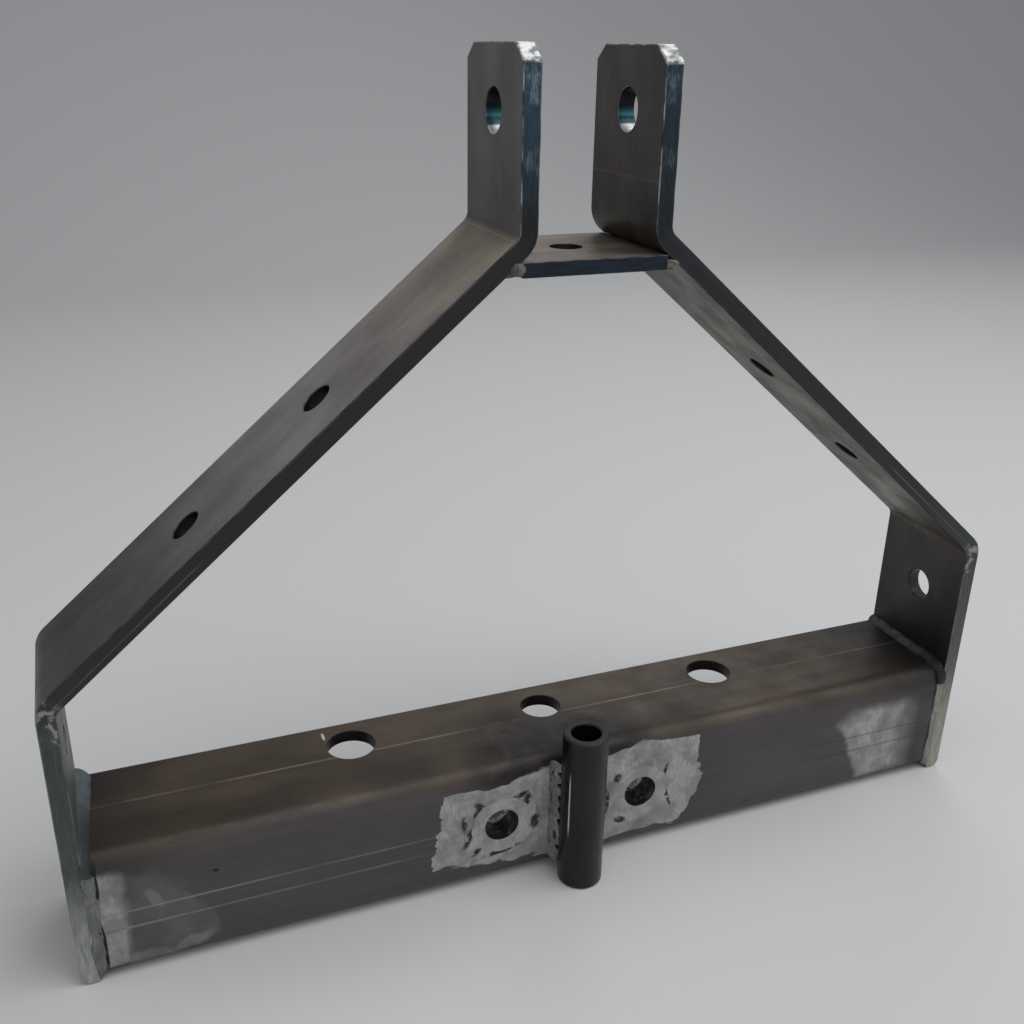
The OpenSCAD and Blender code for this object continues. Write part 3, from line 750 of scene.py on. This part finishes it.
def dressed_weld(real, pale, dark, gaps, burnt=1.0):
    """Weld dressed with the sanding disc: flattened bright metal with the dark voids of the bead left in it, and
    burned darker past a distance along it."""
    scratches = swirls(real)
    murk = cloud(real, 0.007, 0.3, 0.65, (1, 1, 2), 4)
    colour = coat(coat(dark, pale, scratches), dark, murk, 0.55)
    void = cloud(real, 0.0042, gaps, gaps + 0.06, (1, 1, 1.8), 3)
    run = put("Attribute", tree=real.id_data, attribute_name="run").outputs["Vector"]
    along = put("SeparateXYZ", run).outputs[0]
    colour = coat(colour, "2b2c2d", put("MapRange SMOOTHSTEP", along, burnt, burnt + 0.022, 0, 0.8))
    height = put("Math MULTIPLY_ADD", void, -4.0, scratches)
    close_up(coat(colour, "2b2a2b", void), put("MapRange", murk, 0, 1, 0.34, 0.55), 0.4, height,
             0.08 * MM)


def paper(real):
    """Matt grey paper sweep, with a painted pool of light: lighter in the middle, darker further out."""
    local = put("Mapping TEXTURE", {"Vector": real, "Location": (0.4, -0.45, 0.0)})
    far = put("VectorMath LENGTH", local).outputs["Value"]
    # Painted pool of light, fading out from a point on the floor
    colour = coat(colours().floor, "acacad", put("MapRange SMOOTHSTEP", far, 0.3, 3.5))
    tooth = put("TexNoise", {"Vector": real, "Scale": 900.0})
    shader = put("BsdfPrincipled", {
        "Base Color": colour, "Roughness": 0.85, "Specular IOR Level": 0.2,
        "Normal": put("Bump", {"Height": tooth, "Distance": 0.05 * MM})})
    put("OutputMaterial", {"Surface": shader})


# Operators

SIDES = ((LEFT, "left"), (RIGHT, "right"))


class HitchBars(bpy.types.Operator):
    """Rounds the two bent side bars and lays their unrolled coordinates on them"""
    bl_idname, bl_label = "hitch.bars", "Side bars"

    def execute(self, context):
        s = sizes()
        mid = s.front + s.bar_width / 2
        for side, word in SIDES:
            holes = [((0, mid, s.top - PIN_DROP * MM), (1, 0, 0), PIN_R * MM, 0.3),
                     ((0, mid, LIFT_HEIGHT * MM), (1, 0, 0), LIFT_R * MM, 0.3)]
            flip = np.array([side, 1, 1])
            for along in ARM_HOLES:
                point, axis = arm_point(along * MM)
                holes.append((point * flip, axis * flip, BOLT_R * MM, 0.02))
            mesh = rounded(word + "_side_bar", s.bar_edge)
            drilled(mesh, holes, s.bar_edge * 0.9, s.bar_edge * 0.8)
            path = bar_path(points_of(mesh), side)
            write(mesh, "bar", path, "FLOAT_VECTOR")
            worn = np.empty(len(path), np.float32)
            mesh.attributes["edge"].data.foreach_get("value", worn)
            worn[s.bar_thickness / 2 - np.abs(path[:, 2]) < 0.1 * MM] = 0
            mesh.attributes["edge"].data.foreach_set("value", worn)
            show(mesh, word + "_bar_finished", finished("hot_rolled_flat_bar_" + word, rolled_bar, side),
                 "mill_scale_bar", word + "_side_bar")
        return {"FINISHED"}


class HitchChannel(bpy.types.Operator):
    """Rounds the cross channel's sawn ends and drilled edges, fills the grooves round the bushings and finishes
    them together"""
    bl_idname, bl_label = "hitch.channel", "Cross channel"

    def execute(self, context):
        s = sizes()
        finish = finished("hot_rolled_formed_channel", channel_finish)
        mesh = rounded("cross_channel", s.cut_edge)
        drilled(mesh, [((x * MM, s.front + FLANGE_BACK * MM, s.channel_height), (0, 0, 1), radius * MM, 0.03)
                       for x, radius in FLANGE_HOLES], s.cut_edge, s.cut_edge)
        show(mesh, "channel_finished", finish, "mill_scale_channel", "cross_channel")
        for side, word in SIDES:
            show(ring_cap(side), word + "_bushing_weld_sanded", finish, "weld_metal", word + "_bushing_weld")
        return {"FINISHED"}


class HitchTiePlate(bpy.types.Operator):
    """Rounds the tie plate's sawn edges and finishes it"""
    bl_idname, bl_label = "hitch.tie_plate", "Tie plate"

    def execute(self, context):
        s = sizes()
        mesh = rounded("tie_plate", s.cut_edge)
        drilled(mesh, [((0, s.front + s.bar_width / 2, PLATE_HEIGHT * MM), (0, 0, 1), BOLT_R * MM, 0.03)],
                s.cut_edge, s.cut_edge)
        show(mesh, "tie_plate_finished", finished("hot_rolled_plate", plate_finish), "mill_scale_bar", "tie_plate")
        return {"FINISHED"}


class HitchSleeve(bpy.types.Operator):
    """Rounds the pivot sleeve's ends and finishes it"""
    bl_idname, bl_label = "hitch.sleeve", "Pivot sleeve"

    def execute(self, context):
        mesh = rounded("pivot_sleeve", 1.3 * MM, 4)
        drilled(mesh, [((0, 0, 0), (0, 0, 1), 7.25 * MM, 1)])
        show(mesh, "pivot_sleeve_finished", finished("cold_drawn_tube", tube_finish), "drawn_tube", "pivot_sleeve")
        return {"FINISHED"}


class HitchBushings(bpy.types.Operator):
    """Finishes the two threaded bushings"""
    bl_idname, bl_label = "hitch.bushings", "Set-bolt bushings"

    def execute(self, context):
        s = sizes()
        for side, word in SIDES:
            mesh = rounded(word + "_set_bushing", 0.12 * MM)
            drilled(mesh, [((side * s.bushing_x, 0, s.bushing_height), (0, 1, 0), 8.8 * MM, 1)])
            show(mesh, word + "_bushing_finished", finished("turned_steel_bushing", turned_finish), "turned_steel",
                 word + "_set_bushing")
        return {"FINISHED"}


class HitchLegWelds(bpy.types.Operator):
    """Lays the welds between the legs and the channel: over the top flange and down the front corner, down the
    flush front seam, and along the bottom flange inside"""
    bl_idname, bl_label = "hitch.leg_welds", "Leg welds"

    def execute(self, context):
        s = sizes()
        back, corner, leg = s.front + s.bar_width, s.channel_corner, s.fillet
        across = np.array([1.0, 0, 0])
        for (side, word), seed in zip(SIDES, (11, 23)):
            left = side == LEFT
            # The top path runs forwards along the flange, then round the channel's corner by an angle
            run = back - s.front - corner
            t = np.linspace(0, run + corner * np.radians(80), 170)
            angle = np.clip(t - run, 0, None) / corner
            y = np.where(t < run, back - t, s.front + corner - corner * np.sin(angle))
            z = s.channel_height - corner + corner * np.cos(angle)
            lift = np.stack([0 * t, -np.sin(angle), np.cos(angle)], 1)
            half = leg * ((1.15 - 0.65 * t / t[-1]) if left else (0.60 + 0.2 * np.exp(-t / (7 * MM))))
            path = np.stack([s.half_length + 0 * t, y, z], 1) + (lift - across) * half[:, None] * 0.52
            finish = (finished("flat_fillet_weld", dressed_weld, "7f898b", "4f595e", 0.74, 0.022) if left
                      else finished("smooth_wire_weld", weld_metal, 0.25, 0.0))
            weld(word + "_leg_top_bead", finish, word + "_leg_top_weld", side, path, unit(lift + across),
                 unit(lift - across), half, (0.6 if left else 1.0) * MM, half * 0.6, seed, 0.07,
                 ripple_depth=0.03 if left else 0.05, drift=0.12, fastest=7, flush=s.front - 1.0 * MM)
            # The front seam runs down the flush joint, then under the channel's lower corner by an angle
            run = s.channel_height - 2 * corner + 3 * MM
            t = np.linspace(0, run + corner * np.radians(46), 130)
            angle = np.clip(t - run, 0, None) / corner
            under = np.clip(angle / 0.8, 0, 1)[:, None]
            face = np.stack([0 * t, -np.cos(angle), -np.sin(angle)], 1)
            z = np.where(t < run, s.channel_height - corner + 3 * MM - t, corner - corner * np.sin(angle))
            on_web = np.stack([s.half_length + 0 * t, s.front + corner * (1 - np.cos(angle)), z], 1)
            shift = (1 - under) * (-across * 1.4 * MM - face * 0.15 * MM) + under * (face - across) * leg * 0.3
            tones = ("8d908c", "5d625f", 0.62) if left else ("9f9c92", "75736c", 0.60)
            weld(word + "_leg_front_bead", finished("dressed_seam_" + word, dressed_weld, *tones),
                 word + "_leg_front_weld", side, on_web + shift, unit(across + under * face),
                 unit(face - under * across), (2.7 - 0.9 * under[:, 0]) * MM, (0.8 if left else 0.35) * MM, 1.2 * MM,
                 seed + 5, 0.1, ripple_depth=0.02, drift=0.16 if left else 0.1, fastest=7 if left else 4,
                 flush=s.front - (0.9 if left else 0.35) * MM)
            # Inside, along the bottom flange
            t = np.linspace(s.front + corner, back - 1 * MM, 120)
            up = np.tile([0, 0, 1.0], (len(t), 1))
            path = np.stack([s.half_length + 0 * t, t, WALL * MM + 0 * t], 1) + (up - across) * leg * 0.42
            weld(word + "_leg_inside_bead", finished("wire_weld_bead", weld_metal, 1.0, 0.0),
                 word + "_leg_inside_weld", side, path, unit(up + across), unit(up - across), leg * 0.74, 1.2 * MM,
                 2.8 * MM, seed + 9, 0.13)
        return {"FINISHED"}


class HitchTieWelds(bpy.types.Operator):
    """Fills the wedges between the tie plate's ends and the arms, with a lump at each front end"""
    bl_idname, bl_label = "hitch.tie_welds", "Tie plate welds"

    def execute(self, context):
        s = sizes()
        finish = finished("tempered_weld_bead", weld_metal, 0.6, 0.75)
        for (side, word), seed in zip(SIDES, (41, 57)):
            left = side == LEFT
            t = np.linspace(s.front - (2.0 if left else 0.6) * MM, s.front + s.bar_width - 0.3 * MM, 150)
            down = unit(np.tile([0.12, 0, -1.0], (len(t), 1)))
            lump = np.exp(-((t - s.front) / (5 * MM)) ** 2) * (0.7 if left else 0.2)
            path = np.stack([36.6 * MM - 2.9 * MM * lump, t, 302.4 * MM + 2.7 * MM * lump], 1)
            weld(word + "_tie_bead", finish, word + "_tie_weld", side, path,
                 unit(np.tile([1.0, 0, 0.12], (len(t), 1))), down, 3.9 * MM + 0.9 * MM * lump,
                 2.1 * MM + 0.8 * MM * lump, 3.0 * MM, seed, 0.3, drift=0.3, fastest=19,
                 flush=s.front - (1.8 if left else 0.4) * MM)
        return {"FINISHED"}


class HitchSleeveWelds(bpy.types.Operator):
    """Lays an upright bead in the corner between the sleeve and the channel on each side"""
    bl_idname, bl_label = "hitch.sleeve_welds", "Sleeve welds"

    def execute(self, context):
        s = sizes()
        finish = finished("dressed_sleeve_weld", dressed_weld, "9a9997", "605e5d", 0.57)
        for (side, word), seed in zip(SIDES, (71, 87)):
            t = np.linspace(7 * MM, 63.5 * MM, 130)
            above = np.clip(t - s.channel_height + s.channel_corner, 0, None)
            back = s.channel_corner - np.sqrt(s.channel_corner ** 2 - above ** 2)
            path = np.stack([11.7 * MM - 0.35 * back, 8.5 * MM + 0.8 * back, t], 1)
            way = unit(np.tile([3.7, 7.2, 0.0], (len(t), 1)))
            out = unit(np.tile([7.2, -3.7, 0.0], (len(t), 1)))
            weld(word + "_sleeve_bead", finish, word + "_sleeve_weld", side, path, way, out, 4.0 * MM, 0.6 * MM,
                 3.2 * MM, seed, 0.34, ripple_depth=0.02, drift=0.25, fastest=13)
        return {"FINISHED"}


def lamp(name, place, aim, size, power, tall=None):
    """A soft lamp that looks at a point, square, or of another height."""
    light = bpy.data.lights.new(name, "AREA")
    light.shape = "RECTANGLE"
    light.size, light.size_y, light.energy = size, tall or size, power
    holder = bpy.data.objects.new(name, light)
    bpy.context.scene.collection.objects.link(holder)
    turn = (Vector(aim) - Vector(place)).to_track_quat("-Z", "Y").to_matrix().to_4x4()
    holder.matrix_world = Matrix.Translation(place) @ turn


class HitchStage(bpy.types.Operator):
    """Sets the paper sweep, the soft lamps, the world and the camera at the photograph's angle"""
    bl_idname, bl_label = "hitch.stage", "Stage"

    def execute(self, context):
        scene = context.scene
        # The sweep's profile is a floor, a quarter circle and a wall, carried along X
        a = np.radians(np.linspace(0, 90, 33))
        curve = np.stack([1.5 + 0.9 * np.sin(a), 0.9 - 0.9 * np.cos(a)], 1)
        profile = np.concatenate([[[-4.0, 0.0]], curve, [[2.4, 4.0]]])
        n = len(profile)
        place = [(x, y, z) for x in (-5, 0, 5) for y, z in profile.tolist()]
        quads = [(k, k + n, k + n + 1, k + 1) for i in (0, n) for k in range(i, i + n - 1)]
        mesh = bpy.data.meshes.new("paper_sweep")
        mesh.from_pydata(place, [], quads)
        mesh.polygons.foreach_set("use_smooth", np.ones(len(mesh.polygons), bool))
        mesh.materials.append(finished("matt_paper_sweep", paper))
        sweep = bpy.data.objects.new("paper_sweep", mesh)
        scene.collection.objects.link(sweep)
        lamp("overhead_softbox", (0.5, -0.4, 1.8), (0.0, 0.1, 0.1), 1.2, 13.0)
        lamp("left_strip", (-1.25, 0.35, 0.65), (0.0, 0.0, 0.1), 0.1, 0.15, 0.8)
        lamp("right_softbox", (1.5, -0.5, 0.7), (0.1, 0.0, 0.1), 0.5, 0.8)
        lamp("back_softbox", (0.9, 1.3, 1.5), (0.0, 0.1, 0.2), 0.9, 5.0)
        world = bpy.data.worlds.new("studio_air")
        world.use_nodes = True
        air = world.node_tree.nodes["Background"].inputs
        air[0].default_value, air[1].default_value = linear("f4f6fa"), 0.55
        scene.world = world
        scene.view_settings.view_transform = "Standard"
        # The camera's axes and place, fitted to the photograph
        camera = bpy.data.cameras.new("product_camera")
        camera.sensor_width, camera.lens, camera.clip_start = 36, 38.852, 0.05
        right = Vector((0.93058966, -0.36571538, 0.01597331))
        up = Vector((0.12868726, 0.36768082, 0.92100511))
        forward = Vector((0.34269881, 0.85502227, -0.38922288))
        holder = bpy.data.objects.new("product_camera", camera)
        scene.collection.objects.link(holder)
        turn = Matrix((right, up, -forward)).transposed().to_4x4()
        holder.matrix_world = Matrix.Translation((-0.20002, -0.39898, 0.38670)) @ turn
        scene.camera = holder
        return {"FINISHED"}


OPERATORS = (HitchBars, HitchChannel, HitchTiePlate, HitchSleeve, HitchBushings, HitchLegWelds, HitchTieWelds,
             HitchSleeveWelds, HitchStage)


class HITCH_PT_build(bpy.types.Panel):
    """Lists the steps in the sidebar"""
    bl_label, bl_space_type, bl_region_type, bl_category = "Sleeve hitch adapter", "VIEW_3D", "UI", "Hitch"

    def draw(self, context):
        for group in (context.scene.hitch_sizes, context.scene.hitch_colours):
            for name in group.__annotations__:
                self.layout.prop(group, name)
        for operator in OPERATORS:
            self.layout.operator(operator.bl_idname)


def register():
    """Adds the groups, operators and panel."""
    for group in (HitchSizes, HitchColours, *OPERATORS, HITCH_PT_build):
        bpy.utils.register_class(group)
    bpy.types.Scene.hitch_sizes = bpy.props.PointerProperty(type=HitchSizes)
    bpy.types.Scene.hitch_colours = bpy.props.PointerProperty(type=HitchColours)


def unregister():
    """Takes them out again."""
    del bpy.types.Scene.hitch_sizes, bpy.types.Scene.hitch_colours
    for group in reversed((HitchSizes, HitchColours, *OPERATORS, HITCH_PT_build)):
        bpy.utils.unregister_class(group)


def main():
    """Runs every step in order."""
    register()
    for operator in OPERATORS:
        family, name = operator.bl_idname.split(".")
        getattr(getattr(bpy.ops, family), name)()


if __name__ == "__main__":
    main()
